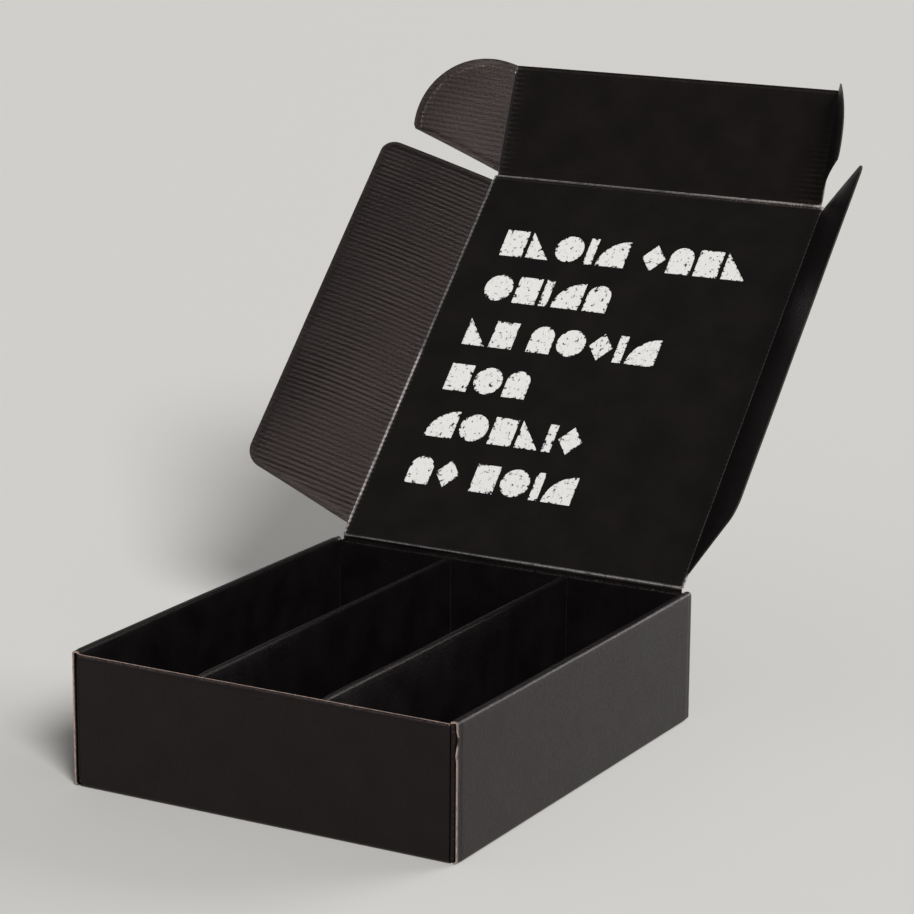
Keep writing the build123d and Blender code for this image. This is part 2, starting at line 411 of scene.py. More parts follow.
class BoardMesh:
    """Collects sheets of board as one mesh, with ridges over the flutes and edges pressed flat by the die."""

    def __init__(self, sizes):
        self.sizes = sizes
        self.points, self.faces, self.kinds, self.sheet, self.wear = [], [], [], [], []

    def vertex(self, point, wear):
        self.points.append(point)
        self.wear.append(wear)
        return len(self.points) - 1

    def face(self, corners, kind, coordinates, flip):
        if flip:
            corners, coordinates = corners[::-1], coordinates[::-1]
        self.faces.append(corners)
        self.kinds.append(kind)
        self.sheet.extend(coordinates)

    def add_sheet(self, rows, span, place, matrix, columns=12, edges=None, wear=None, ridges=(1.0, 1.0),
                  lift=0.0, layers=2):
        """One sheet. rows are places across the flutes; span(v) gives its two ends along the flutes; place(u,
        v) gives the point and the normal of the middle of the board. edges names each side cut, fold, butt or
        joined: cut by the die, rounded at a fold, square against a fold, or met by the next sheet. columns is
        a number, or the places along the flutes where the sheet turns. ridges says how much the flutes show
        on the front and on the back. One layer gives the front alone, for print that lies on it."""
        sizes = self.sizes
        half = sizes.board / 2
        edges = dict.fromkeys(SIDES, "cut") | (edges or {})
        flip = matrix.determinant() < 0
        margin = sizes.crush
        front, back, columns_u, creased = [], [], [], []
        for v in rows:
            low, high = span(v)
            if isinstance(columns, int):
                width = high - low
                near = min(margin, width * 0.3)
                inner = [low + near + (width - 2 * near) * i / columns for i in range(columns + 1)]
                us = [low + near * s for s in MARGIN_STEPS[:-1]] + inner
                us += [high - near * s for s in MARGIN_STEPS[-2::-1]]
            else:
                us = columns
            slope_low, slope_high = self.slopes(span, v, rows)
            row_front, row_back, row_creased = [], [], []
            for u in us:
                pressed, fold, groove, crease = 0.0, 0.0, 0.0, False
                distances = ((u - low) * slope_low, (high - u) * slope_high, v - rows[0], rows[-1] - v)
                for side, distance in zip(SIDES, distances):
                    if edges[side] == "cut":
                        pressed = max(pressed, 1 - distance / margin)
                    elif edges[side] in ("fold", "butt"):
                        fold = max(fold, 1 - distance / FOLD_REACH)
                        crease |= distance <= sizes.crack_width + 1e-3
                        groove = max(groove, hump(distance, sizes.score_from, SCORE_WIDTH))
                pressed = min(max(pressed * 1.5, 0.0), 1.0)
                pressed = pressed * pressed * (3 - 2 * pressed)
                fold = max(fold, 0.0)
                flute = math.cos(math.tau * v / sizes.flute) + 0.35 * math.cos(math.pi * v / sizes.flute + 0.6)
                strength = max(0.15, 0.85 + sizes.uneven * unevenness(u, v, 38, 45, 11))
                wave = sizes.ridge * flute * strength * (1 - pressed) * (1 - fold)
                thick = half * (1 - CRUSHED * pressed) - sizes.score_depth * groove
                point, normal = place(u, v)
                worn_and_glints = (wear(u, v) if wear else 0.0) + CRUSH_WEAR * pressed
                above, below = thick + wave * ridges[0] + lift, thick - wave * ridges[1]
                row_front.append(self.vertex(matrix @ (point + normal * above), worn_and_glints))
                row_back.append(self.vertex(matrix @ (point - normal * below), worn_and_glints))
                row_creased.append(crease)
            front.append(row_front)
            back.append(row_back)
            creased.append(row_creased)
            columns_u.append(us)
        self.skin(front, columns_u, rows, creased, flip)
        if layers == 1:
            return
        self.skin(back, columns_u, rows, creased, not flip)
        self.close_edges(front, back, columns_u, rows, edges, flip)

    @staticmethod
    def slopes(span, v, rows):
        """Cosines that turn a distance along a row into a distance square to the sheet's two side edges."""
        before, after = span(max(v - 0.5, rows[0])), span(min(v + 0.5, rows[-1]))
        gap = max(min(v + 0.5, rows[-1]) - max(v - 0.5, rows[0]), 1e-6)
        return [math.cos(math.atan((b - a) / gap)) for a, b in zip(before, after)]

    def skin(self, grid, us, rows, creased, flip):
        for j in range(len(rows) - 1):
            for i in range(len(us[j]) - 1):
                corners = [grid[j][i], grid[j][i + 1], grid[j + 1][i + 1], grid[j + 1][i]]
                places = [(us[j][i], rows[j]), (us[j][i + 1], rows[j]),
                          (us[j + 1][i + 1], rows[j + 1]), (us[j + 1][i], rows[j + 1])]
                beside_fold = creased[j][i] and creased[j][i + 1] and creased[j + 1][i] and creased[j + 1][i + 1]
                self.face(corners, FOLD if beside_fold else PRINT, [(a * MM, b * MM) for a, b in places], flip)

    def close_edges(self, front, back, us, rows, edges, flip):
        """Closes the four sides: cut sides square, folded sides rounded and joined sides left open."""
        sides = {
            "u0": ([(f[0], b[0], v, f[1], b[1]) for f, b, v in zip(front, back, rows)], True, ACROSS),
            "u1": ([(f[-1], b[-1], v, f[-2], b[-2]) for f, b, v in zip(front, back, rows)], False, ACROSS),
            "v0": (list(zip(front[0], back[0], us[0], front[1], back[1])), False, ALONG),
            "v1": (list(zip(front[-1], back[-1], us[-1], front[-2], back[-2])), True, ALONG),
        }
        for name, (run, turned, kind) in sides.items():
            if edges[name] == "joined":
                continue
            rounded = edges[name] == "fold"
            rings = [self.rounded_ring(step) if rounded else self.square_ring(step) for step in run]
            for first, second, ring, following in zip(run, run[1:], rings, rings[1:]):
                pieces = len(ring) - 1
                for k in range(pieces):
                    deep, deeper = ((0.5 - n / pieces) * self.sizes.board for n in (k, k + 1))
                    corners = [ring[k], ring[k + 1], following[k + 1], following[k]]
                    places = [(first[2], deep), (first[2], deeper), (second[2], deeper), (second[2], deep)]
                    if rounded and kind == ACROSS:
                        places = [(b, a) for a, b in places]
                    finish = FOLD if edges[name] in ("fold", "butt") else kind
                    self.face(corners, finish, [(a * MM, b * MM) for a, b in places], flip == turned)

    def square_ring(self, step):
        return [self.vertex(self.points[i].copy(), self.wear[i]) for i in step[:2]]

    def rounded_ring(self, step, segments=6):
        """Half circle of vertices from the front skin round to the back skin, at a folded edge."""
        top, bottom, _, inner_top, inner_bottom = step
        points = self.points
        middle, arm = (points[top] + points[bottom]) / 2, (points[top] - points[bottom]) / 2
        out = (middle - (points[inner_top] + points[inner_bottom]) / 2).normalized() * arm.length
        ring = [top]
        for k in range(1, segments):
            angle = math.pi * k / segments
            # Paler towards the outside of the round: cracked print, and painted highlight along the bead.
            worn_and_glints = self.wear[top] + 0.3 * math.sin(angle)
            ring.append(self.vertex(middle + arm * math.cos(angle) + out * math.sin(angle), worn_and_glints))
        return ring + [bottom]

    def finish(self, name, context, *replaced, body):
        mesh = bpy.data.meshes.new(name)
        mesh.from_pydata([p * MM for p in self.points], [], self.faces)
        layer = mesh.uv_layers.new(name="sheet")
        layer.data.foreach_set("uv", [c for pair in self.sheet for c in pair])
        worn_and_glints = mesh.attributes.new("wear", "FLOAT", "POINT")
        worn_and_glints.data.foreach_set("value", self.wear)
        for material in board_finishes(context):
            mesh.materials.append(material)
        mesh.polygons.foreach_set("material_index", self.kinds)
        mesh.shade_smooth()
        mesh.validate()
        mesh.update()
        piece = bpy.data.objects.new(name, mesh)
        context.scene.collection.objects.link(piece)
        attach(piece, body)
        if replaced:
            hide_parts(*replaced)
        return piece


# Rows of vertices to a flute, on board whose ridges show and on the tray and the insert, which are almost
# smooth.
RIDGED, SMOOTH = 8, 2


def flute_rows(low, high, sizes, extra=(), per_flute=RIDGED):
    """Places across the flutes, with extra ones where an outline turns. Smooth board has every row within a
    crushed margin of its two ends, and fewer between, which keeps a large sheet's mesh small."""
    steps = max(2, math.ceil((high - low) / sizes.flute * RIDGED))
    stride = RIDGED // per_flute
    rows = {round(v, 4) for v in extra if low < v < high}
    for i in range(steps + 1):
        from_end = min(i, steps - i) * (high - low) / steps
        if i % stride == 0 or from_end <= sizes.crush:
            rows.add(round(low + (high - low) * i / steps, 4))
    return sorted(rows)


def flat(u, v):
    return Vector((u, v, 0)), Vector((0, 0, 1))


def bowed(width, low, high, at_ends, at_middle, waviness=0.0):
    """Place of a panel that bows towards the front between its fold and its outer edge, by one amount at its
    two ends and another at half its length, and is a little wavy, as board is that has been folded and opened
    again."""
    step = 0.5

    def height(u, v):
        along = math.sin(math.pi * min(max((v - low) / (high - low), 0.0), 1.0))
        wave = -waviness * unevenness(u, v, 45, 70, 4) * min(max(u / width, 0.0), 1.0)
        rise = at_ends + (at_middle - at_ends) * along
        return rise * math.sin(math.pi * u / width) + wave * along

    def place(u, v):
        z = height(u, v)
        slope_u, slope_v = (height(u + step, v) - z) / step, (height(u, v + step) - z) / step
        return Vector((u, v, z)), Vector((-slope_u, -slope_v, 1)).normalized()
    return place


def folded_line(corners, radius, steps=6):
    """Points and normals along a line with rounded corners, with the distance along it. The normal is to its
    left."""
    stops = []
    points = [Vector(c) for c in corners]
    stops.append(points[0])
    for before, corner, after in zip(points, points[1:], points[2:]):
        back, ahead = (before - corner).normalized(), (after - corner).normalized()
        half_turn = (math.pi - back.angle(ahead)) / 2
        reach = radius * math.tan(half_turn)
        start = corner + back * reach
        middle = corner + (back + ahead).normalized() * radius / math.cos(half_turn)
        first = start - middle
        turn = math.copysign(2 * half_turn, (-back).x * ahead.y - (-back).y * ahead.x)
        stops += [middle + Matrix.Rotation(turn * k / steps, 2) @ first for k in range(steps + 1)]
    stops.append(points[-1])
    line, distance = [], 0.0
    for i, stop in enumerate(stops):
        if i:
            distance += (stop - stops[i - 1]).length
        ahead, behind = stops[min(i + 1, len(stops) - 1)], stops[max(i - 1, 0)]
        tangent = (ahead - behind).normalized()
        line.append((distance, stop, Vector((-tangent.y, tangent.x))))
    return line


def along_line(line, distance):
    """Point and normal of a folded line at a distance along it."""
    for (d0, p0, n0), (d1, p1, n1) in zip(line, line[1:]):
        if distance <= d1 + 1e-6:
            share = min(max((distance - d0) / max(d1 - d0, 1e-6), 0), 1)
            return p0.lerp(p1, share), n0.lerp(n1, share).normalized()
    return line[-1][1], line[-1][2]


def arc(middle, radius, start, end, steps):
    """Points of an arc, with its angles in degrees."""
    turns = [math.radians(start + (end - start) * k / steps) for k in range(steps + 1)]
    return [(middle[0] + radius * math.cos(t), middle[1] + radius * math.sin(t)) for t in turns]


def reach(outline, v, pick):
    """The lowest or highest place along the flutes that a closed outline has at v."""
    places = [corner_v for _, corner_v in outline]
    v = min(max(v, min(places)), max(places))
    hits = []
    for (u0, v0), (u1, v1) in zip(outline, outline[1:] + outline[:1]):
        if min(v0, v1) <= v <= max(v0, v1):
            hits += [u0 + (u1 - u0) * (v - v0) / (v1 - v0)] if v1 != v0 else [u0, u1]
    return pick(hits)


def outline_sheet(mesh, outline, matrix, sizes, place=flat, **settings):
    """Sheet of board of a convex outline."""
    lows = [v for _, v in outline]
    rows = flute_rows(min(lows), max(lows), sizes, lows)
    mesh.add_sheet(rows, lambda v: (reach(outline, v, min), reach(outline, v, max)), place, matrix, **settings)


def seam_start(sizes):
    """Where a swinging panel's board begins: just inside the rounded fold that it swings about, so no light
    shows."""
    return sizes.board / 2 - 0.15


# The tray

# Millimetres from the end of a wall's bend to the floor's own sheet, of play around a layer of board, from a
# side wall's end to the outside of the end wall, and by which the inner ply is shorter at each end.
SEAM, SLACK, SETBACK, SHORTER = 0.2, 0.4, 0.6, 1.8


def side_wall(mesh, sizes, side):
    """Outer panel up from the floor, over the rolled top and down again as the inner panel."""
    half = sizes.board / 2
    outer, inner = TRAY_HIGH.x - half, TRAY_HIGH.x - sizes.wall + half
    top = sizes.roll_top - half
    line = folded_line(
        [(outer - sizes.bend - SEAM, half), (outer, half), (outer, top), (inner, top),
         (inner, sizes.board + SLACK)],
        sizes.bend)
    length = line[-1][0]
    back_end = TRAY_HIGH.y - SETBACK
    most_bulge, most_ripple = 0.7, 0.25
    # Heights of the dog-eared spot at the near end of the right wall, of the hollow under it and of its dark
    # gap.
    dog_ear, hollow, gap = 81, 71, 80

    def place(u, v):
        point, normal = along_line(line, u)
        bulge = most_bulge * (point.y / top) ** 2 * (1 - (v / back_end) ** 2)
        ripple = most_ripple * unevenness(v, point.y, 60, 50, side * 7)
        y = v
        if point.x < outer - 2 * sizes.bend and point.y < sizes.end_top:
            y = max(-back_end + SHORTER, min(back_end - SHORTER, v))
        elif side > 0:
            bent = 1.8 * hump(point.y, dog_ear, 4) - 1.0 * hump(point.y, hollow, 3)
            y += bent * fade(v + back_end, 5)
        return Vector((point.x + bulge + ripple * point.y / top, y, point.y)), Vector((normal.x, 0, normal.y))

    def wear(u, v):
        on_top = hump(u, length * 0.5, 5)
        at_end = fade(back_end - abs(v), 2)
        in_gap = side > 0 and u < length * 0.45 and v < 0
        dark_gap = hump(along_line(line, u)[0].y, gap, 4, power=4) if in_gap else 0.0
        return 0.1 * on_top + at_end * (0.75 + 0.25 * on_top) * (1 - dark_gap)

    start = next(d - point.y for d, point, _ in line if abs(point.x - outer) < 1e-3)
    nicked = {start + height for height in range(64, 90, 2)}
    columns = sorted({d for d, _, _ in line} | {length * k / 24 for k in range(25)} | nicked)
    rows = flute_rows(-back_end, back_end, sizes, per_flute=SMOOTH)
    mesh.add_sheet(rows, lambda v: (0.0, length), place, Matrix.Diagonal((side, 1, 1, 1)), columns=columns,
                   edges={"u0": "joined"}, wear=wear, ridges=TRAY_RIDGES)


def end_wall(mesh, sizes, turn, top_edge):
    """Front wall up from the floor, with a corner flap folded back at each end."""
    half = sizes.board / 2
    face_y = TRAY_HIGH.y - half
    flap_x = TRAY_HIGH.x - sizes.wall / 2
    straight = flap_x - sizes.corner_round
    line = folded_line(
        [(-face_y + sizes.bend + SEAM, half), (-face_y, half), (-face_y, sizes.end_top)], sizes.bend)
    length = line[-1][0]
    matrix = Matrix.Rotation(turn, 4, "Z")

    def dent(u, height):
        return 0.35 * unevenness(u, height, 70, 60, 3 + turn) * height / sizes.end_top

    def up(u, v):
        point, normal = along_line(line, v)
        return Vector((u, point.x + dent(u, point.y), point.y)), Vector((0, normal.x, normal.y))

    def rubbed_top(u, v):
        patchy = 0.55 - 0.1 * u / straight + 0.3 * noise.noise(Vector((u / 25, 9, turn)))
        return patchy * fade(length - v, 2)

    rows = flute_rows(0, length, sizes, [d for d, _, _ in line], SMOOTH)
    mesh.add_sheet(rows, lambda v: (-straight, straight), up, matrix, columns=30, ridges=TRAY_RIDGES,
                   edges=ALL_JOINED | {"v1": top_edge}, wear=rubbed_top)
    foot = sizes.board + SLACK
    lead = length - sizes.end_top
    for side in (-1, 1):
        corner = folded_line(
            [(straight, -face_y), (flap_x, -face_y), (flap_x, sizes.corner_flap - face_y)], sizes.corner_round)
        reach_u = corner[-1][0]

        def around(u, v):
            point, normal = along_line(corner, u)
            height = v - lead
            y = point.y + dent(side * straight, height)
            return Vector((point.x, y, height)), Vector((-normal.x, -normal.y, 0))

        columns = sorted({d for d, _, _ in corner} | {reach_u * k / 4 for k in range(5)})
        mesh.add_sheet(flute_rows(foot + lead, length, sizes), lambda v: (0.0, reach_u), around,
                       matrix @ Matrix.Diagonal((side, 1, 1, 1)), columns=columns, edges={"u0": "joined"})


def tray_floor(mesh, sizes):
    """Floor between the walls, with slots along both sides where the lock tabs come through."""
    half = sizes.board / 2
    lift = Matrix.Translation((0, 0, half))
    edge_x = TRAY_HIGH.x - half - sizes.bend - SEAM
    end_y = TRAY_HIGH.y - half - sizes.bend - SEAM
    slot_middle = TRAY_HIGH.x - sizes.wall + half
    slot_in, slot_out = slot_middle - half - SLACK / 2, slot_middle + half + SLACK / 2
    near = (sizes.tab_spacing - sizes.tab) / 2 - SLACK
    far = (sizes.tab_spacing + sizes.tab) / 2 + SLACK
    slots = [(-far, -near), (near, far)]
    rows = flute_rows(-end_y, end_y, sizes)
    mesh.add_sheet(rows, lambda v: (-slot_in, slot_in), flat, lift, edges=ALL_JOINED,
                   columns=[slot_in * k / 6 for k in range(-6, 7)])
    solid = [(-end_y, -far), (-near, near), (far, end_y)]
    tab_foot, tab_head = 0.3, sizes.board + 0.6
    for side in (-1, 1):
        matrix = lift @ Matrix.Diagonal((side, 1, 1, 1))
        for low, high in solid:
            mesh.add_sheet(flute_rows(low, high, sizes), lambda v: (slot_in, slot_out), flat, matrix,
                           columns=[slot_in, slot_out], edges={"u0": "joined", "u1": "joined"})
        mesh.add_sheet(rows, lambda v: (slot_out, edge_x), flat, matrix, columns=[slot_out, edge_x],
                       edges=ALL_JOINED | {"u0": "cut"})
        upright = Matrix.Diagonal((side, 1, 1, 1)) @ placed(
            Vector((slot_middle, 0, 0)), Vector((0, 0, 1)), Vector((0, 1, 0)))
        for low, high in slots:
            mesh.add_sheet(flute_rows(low + SLACK, high - SLACK, sizes), lambda v: (tab_foot, tab_head), flat,
                           upright, columns=[tab_foot, tab_head], edges={"u1": "joined"})


class GIFTBOX_OT_tray(Operator):
    """Folds the tray: floor, rolled side walls, front wall and back wall"""
    bl_idname = "giftbox.tray"
    bl_label = "Tray"

    def execute(self, context):
        sizes = context.scene.box_sizes
        mesh = BoardMesh(sizes)
        for side in (-1, 1):
            side_wall(mesh, sizes, side)
        end_wall(mesh, sizes, 0.0, "cut")
        end_wall(mesh, sizes, math.pi, "joined")
        tray_floor(mesh, sizes)
        rise = flute_rows(sizes.end_top, HINGE.z, sizes)
        upright = placed(Vector((0, HINGE.y, 0)), Vector((-1, 0, 0)), Vector((0, 0, 1)))
        # The hinge's rounded fold gets a faint pale line, strongest at the right and fading out towards the
        # left: cracked print and painted highlight.
        mesh.add_sheet(rise, lambda v: (-SIDE_FOLD_X, SIDE_FOLD_X), flat, upright, columns=30,
                       edges={"v0": "joined", "v1": "fold"},
                       wear=lambda u, v: 0.2 * max(0.0, min(1.0, 0.5 - u / 90)))
        mesh.finish("tray_sheet", context, "tray", body="tray")
        return {"FINISHED"}


class GIFTBOX_OT_dividers(Operator):
    """Folds the pleated insert whose two pleats divide the tray into three bays"""
    bl_idname = "giftbox.dividers"
    bl_label = "Divider insert"

    def execute(self, context):
        sizes = context.scene.box_sizes
        half = sizes.board / 2
        pad, top = INSERT_LOW.z + half, INSERT_HIGH.z - half
        middle = (TRAY_HIGH.x - sizes.wall) / 3 + sizes.divider / 6
        pleat = (sizes.divider - sizes.board) / 2
        corners = [(INSERT_LOW.x, pad)]
        for x in (-middle, middle):
            corners += [(x - pleat, pad), (x - pleat, top), (x + pleat, top), (x + pleat, pad)]
        corners.append((INSERT_HIGH.x, pad))
        line = folded_line(corners, sizes.bend)
        length = line[-1][0]

        def place(u, v):
            point, normal = along_line(line, u)
            height = (point.y - pad) / (top - pad)
            lean = 0.9 * noise.noise(Vector((v / 90, math.copysign(5, point.x), 1))) * height
            middle_of_board = Vector((point.x + lean, v, point.y - 0.3 * height * abs(lean)))
            return middle_of_board, Vector((normal.x, 0, normal.y))

        mesh = BoardMesh(sizes)
        columns = sorted({d for d, _, _ in line} | {length * k / 40 for k in range(41)})
        rows = flute_rows(INSERT_LOW.y, INSERT_HIGH.y, sizes, per_flute=SMOOTH)
        mesh.add_sheet(rows, lambda v: (0.0, length), place, Matrix.Identity(4), columns=columns,
                       ridges=TRAY_RIDGES)
        mesh.finish("divider_sheet", context, "divider_insert", body="tray")
        return {"FINISHED"}


# The lid and its flaps

class GIFTBOX_OT_lid(Operator):
    """Makes the lid's panel, with a rounded fold along each side and along its front"""
    bl_idname = "giftbox.lid"
    bl_label = "Lid panel"

    def execute(self, context):
        sizes = context.scene.box_sizes
        mesh = BoardMesh(sizes)

        # The pale line along each fold is cracked print and painted highlight: along the left fold it is
        # brighter on the half next to the hinge, along the front fold it grows brighter to the right, along the
        # right fold it is faint, and along the hinge it is brighter to the right.
        def wear(u, v):
            near_left = fade(SIDE_FOLD_X + u, 3)
            near_right = fade(SIDE_FOLD_X - u, 3)
            near_front = fade(LID_LENGTH - v, 3)
            low_half = 1.0 if v < LID_LENGTH * 0.5 else 0.35
            near_hinge = fade(v, 2) * min(max(0.25 + u / 90, 0.1), 0.5)
            across = max(0.0, u / SIDE_FOLD_X)
            return near_left * low_half + 0.3 * near_right + near_front * (0.6 + 1.3 * across) + near_hinge

        rows = flute_rows(seam_start(sizes), LID_LENGTH, sizes)
        mesh.add_sheet(rows, lambda v: (-SIDE_FOLD_X, SIDE_FOLD_X), flat, LID_FRAME, columns=24, wear=wear,
                       ridges=LID_RIDGES,
                       edges={"u0": "fold", "u1": "fold", "v0": "butt", "v1": "fold"})
        mesh.finish("lid_board", context, "lid_panel", body="lid")
        return {"FINISHED"}


def side_flap_outline(sizes):
    """Right side flap: slanted end beside the hinge, straight outer edge and two rounded corners."""
    start, depth, toe = seam_start(sizes), sizes.flap_depth, LID_LENGTH - sizes.flap_toe
    slant = math.degrees(math.atan2(sizes.heel_taper, depth - start))
    heel_v = sizes.flap_heel + sizes.heel_taper
    turn = 90 - slant
    inset = sizes.heel_round * math.tan(math.radians(turn / 2))
    heel_middle = (depth - sizes.heel_round, heel_v + inset)
    toe_middle = (depth - sizes.toe_round, toe - sizes.toe_round)
    return (
        [(start, sizes.flap_heel)] + arc(heel_middle, sizes.heel_round, slant - 90, 0, 12)
        + arc(toe_middle, sizes.toe_round, 0, 90, 12) + [(start, toe)]
    )


class GIFTBOX_OT_side_flaps(Operator):
    """Makes the two side flaps of the lid, standing as they are folded"""
    bl_idname = "giftbox.side_flaps"
    bl_label = "Side flaps"

    right_bow: FloatProperty(
        name="Right bow", description="Bow of the right flap as a share of the left", default=0.2)

    def execute(self, context):
        sizes = context.scene.box_sizes
        outline = side_flap_outline(sizes)
        for side, name, share in ((-1, "left", 1.0), (1, "right", self.right_bow)):
            matrix = swung(LID_FRAME, side * SIDE_FOLD_X, fold_angle(f"{name}_side_flap_fold"))
            mesh = BoardMesh(sizes)
            bow = sizes.bow * share
            place = bowed(sizes.flap_depth, sizes.flap_heel, LID_LENGTH, 0.15 * bow, bow, sizes.waviness * share)
            # Pale line along the fold, brighter on the half next to the hinge: cracked print and painted
            # highlight.
            outline_sheet(mesh, outline, matrix, sizes, place=place, columns=14,
                          edges={"u0": "butt", "v0": "joined"}, ridges=FLAP_RIDGES,
                          wear=lambda u, v: fade(u, 4) * (1.0 if v < LID_LENGTH * 0.5 else 0.35))
            mesh.finish(f"side_flap_{name}", context, f"lid_side_flap_{name}", body=f"{name}_side_flap")
        return {"FINISHED"}


class GIFTBOX_OT_front_flap(Operator):
    """Makes the tuck flap at the front of the lid"""
    bl_idname = "giftbox.front_flap"
    bl_label = "Front flap"

    curl: FloatProperty(
        name="Curl", description="Depth of the hollow beside each ear's fold, mm", default=0.35)
    curl_width: FloatProperty(
        name="Curl width", description="Fold to the bottom of the hollow, mm", default=6.0)

    def execute(self, context):
        sizes = context.scene.box_sizes
        mesh = BoardMesh(sizes)
        rows = flute_rows(seam_start(sizes), sizes.front_depth, sizes)

        def place(u, v):
            inset = (EAR_FOLD_X - abs(u)) / self.curl_width
            slope = math.copysign(self.curl / self.curl_width * (1 - inset) * math.exp(1 - inset), u)
            return Vector((u, v, -self.curl * inset * math.exp(1 - inset))), Vector((-slope, 0, 1)).normalized()

        # Paler print near the fold and the ends, from the wear-and-glints map. The front fold's pale line grows
        # brighter to the right: cracked print and painted highlight. The wedge at the right end, widest at the
        # fold, makes the flute tops paler as painted highlight for the glints on the ridges there; a band at the
        # left end makes them paler too.
        def wear(u, v):
            painted_glints_at_right = fade(EAR_FOLD_X - u, 26 - 0.2 * v)
            crease = fade(v, 3) * (0.6 + max(0.0, u / EAR_FOLD_X))
            paler_print = 0.5 * painted_glints_at_right * fade(v, 75) + 0.35 * fade(EAR_FOLD_X + u, 9)
            return crease + (paler_print if EAR_FOLD_X - abs(u) > sizes.crack_width else 0.0)

        mesh.add_sheet(rows, lambda v: (-EAR_FOLD_X, EAR_FOLD_X), place, FRONT_FRAME, columns=40,
                       edges={"u0": "fold", "u1": "fold", "v0": "butt"}, ridges=FRONT_RIDGES, wear=wear)
        mesh.finish("front_flap", context, "lid_front_flap", body="front_flap")
        return {"FINISHED"}


def ear_outline(sizes):
    """Right ear: lower edge that rises outwards, small tip and one large curve back to the top of the
    flap."""
    start = seam_start(sizes)
    slope = math.tan(math.radians(sizes.ear_slant))
    middle = (sizes.ear_out, sizes.ear_up)
    tip_turn = math.degrees(math.asin((sizes.ear_start + (sizes.ear_out + sizes.ear_round) * slope - middle[1])
                                      / sizes.ear_round))
    top_turn = math.degrees(math.acos((start - middle[0]) / sizes.ear_round))
    curve = arc(middle, sizes.ear_round, tip_turn + 2.5, top_turn, 40)
    tip_u = curve[0][0] - 1.5
    return [(start, sizes.ear_start + start * slope), (tip_u, sizes.ear_start + tip_u * slope)] + curve


class GIFTBOX_OT_ears(Operator):
    """Makes the two ears at the ends of the front flap"""
    bl_idname = "giftbox.ears"
    bl_label = "Tuck ears"

    bow: FloatProperty(name="Bow", description="How far an ear bows inwards, mm", default=5.0)
    bow_width: FloatProperty(
        name="Bow width", description="Twice the way from the ear's fold to where it bows most, mm",
        default=92.0)
    dots: FloatProperty(
        name="Dots", description="Curved edge to the row of rubbed flute tops, mm", default=5.5)

    def execute(self, context):
        sizes = context.scene.box_sizes
        outline = ear_outline(sizes)

        def rim(u, v):
            return sizes.ear_round - math.hypot(u - sizes.ear_out, v - sizes.ear_up)

        for side, name in ((-1, "left"), (1, "right")):
            matrix = swung(FRONT_FRAME, side * EAR_FOLD_X, fold_angle(f"{name}_ear_fold"))
            mesh = BoardMesh(sizes)
            place = bowed(self.bow_width, 0, sizes.front_depth, self.bow, 0.65 * self.bow)
            outline_sheet(mesh, outline, matrix, sizes, place=place, columns=14,
                          edges={"u0": "butt", "v0": "joined", "v1": "joined"}, ridges=EAR_RIDGES,
                          wear=lambda u, v: 0.9 * fade(abs(self.dots - rim(u, v)), 1.2))
            mesh.finish(f"ear_{name}", context, f"tuck_ear_{name}", body=f"{name}_ear")
        return {"FINISHED"}


# The print inside the lid: plain shapes in rows

def printed_shape(kind, width, height):
    """Outline of one plain shape that stands on the row's line, with its left end at 0."""
    outlines = {
        "block": [(0, 0), (width, 0), (width, height), (0, height)],
        "disc": arc((width / 2, height / 2), height / 2, 0, 345, 23),
        "wedge": [(0, 0), (width, 0), (0, height)],
        "diamond": [(width / 2, 0), (width, height / 2), (width / 2, height), (0, height / 2)],
        "arch": [(0, 0), (width, 0)] + arc((width / 2, height - width / 2), width / 2, 0, 180, 20),
        "quarter": [(width, 0)] + arc((width, 0), height, 90, 180, 16),
    }
    return outlines[kind]


def rim_distance(outline, u, v):
    """Distance from a place inside an outline to the outline."""
    ends = [Vector(corner) for corner in outline]
    place = Vector((u, v))
    nearest = []
    for first, second in zip(ends, ends[1:] + ends[:1]):
        foot, share = intersect_point_line(place, first, second)
        foot = first.lerp(second, min(max(share, 0), 1))
        nearest.append((place - foot.to_2d()).length)
    return min(nearest)


# Each row's shapes, with the share of a full width that each one takes; a gap is left bare.
WIDE, NARROW, GAP = 1.0, 0.36, 0.3
PRINTED_ROWS = (
    (("block", WIDE), ("wedge", WIDE), ("disc", WIDE), ("block", NARROW), ("quarter", WIDE), (None, GAP),
     ("diamond", WIDE), ("arch", WIDE), ("block", WIDE), ("wedge", WIDE)),
    (("disc", WIDE), ("block", WIDE), ("block", NARROW), ("quarter", WIDE), ("arch", WIDE)),
    (("wedge", WIDE), ("block", WIDE), (None, GAP), ("arch", WIDE), ("disc", WIDE), ("diamond", WIDE),
     ("block", NARROW), ("quarter", WIDE)),
    (("block", WIDE), ("disc", WIDE), ("arch", WIDE)),
    (("quarter", WIDE), ("disc", WIDE), ("block", WIDE), ("wedge", WIDE), ("block", NARROW), ("diamond", WIDE)),
    (("arch", WIDE), ("diamond", WIDE), (None, GAP), ("block", WIDE), ("disc", WIDE), ("block", NARROW),
     ("quarter", WIDE)),
)


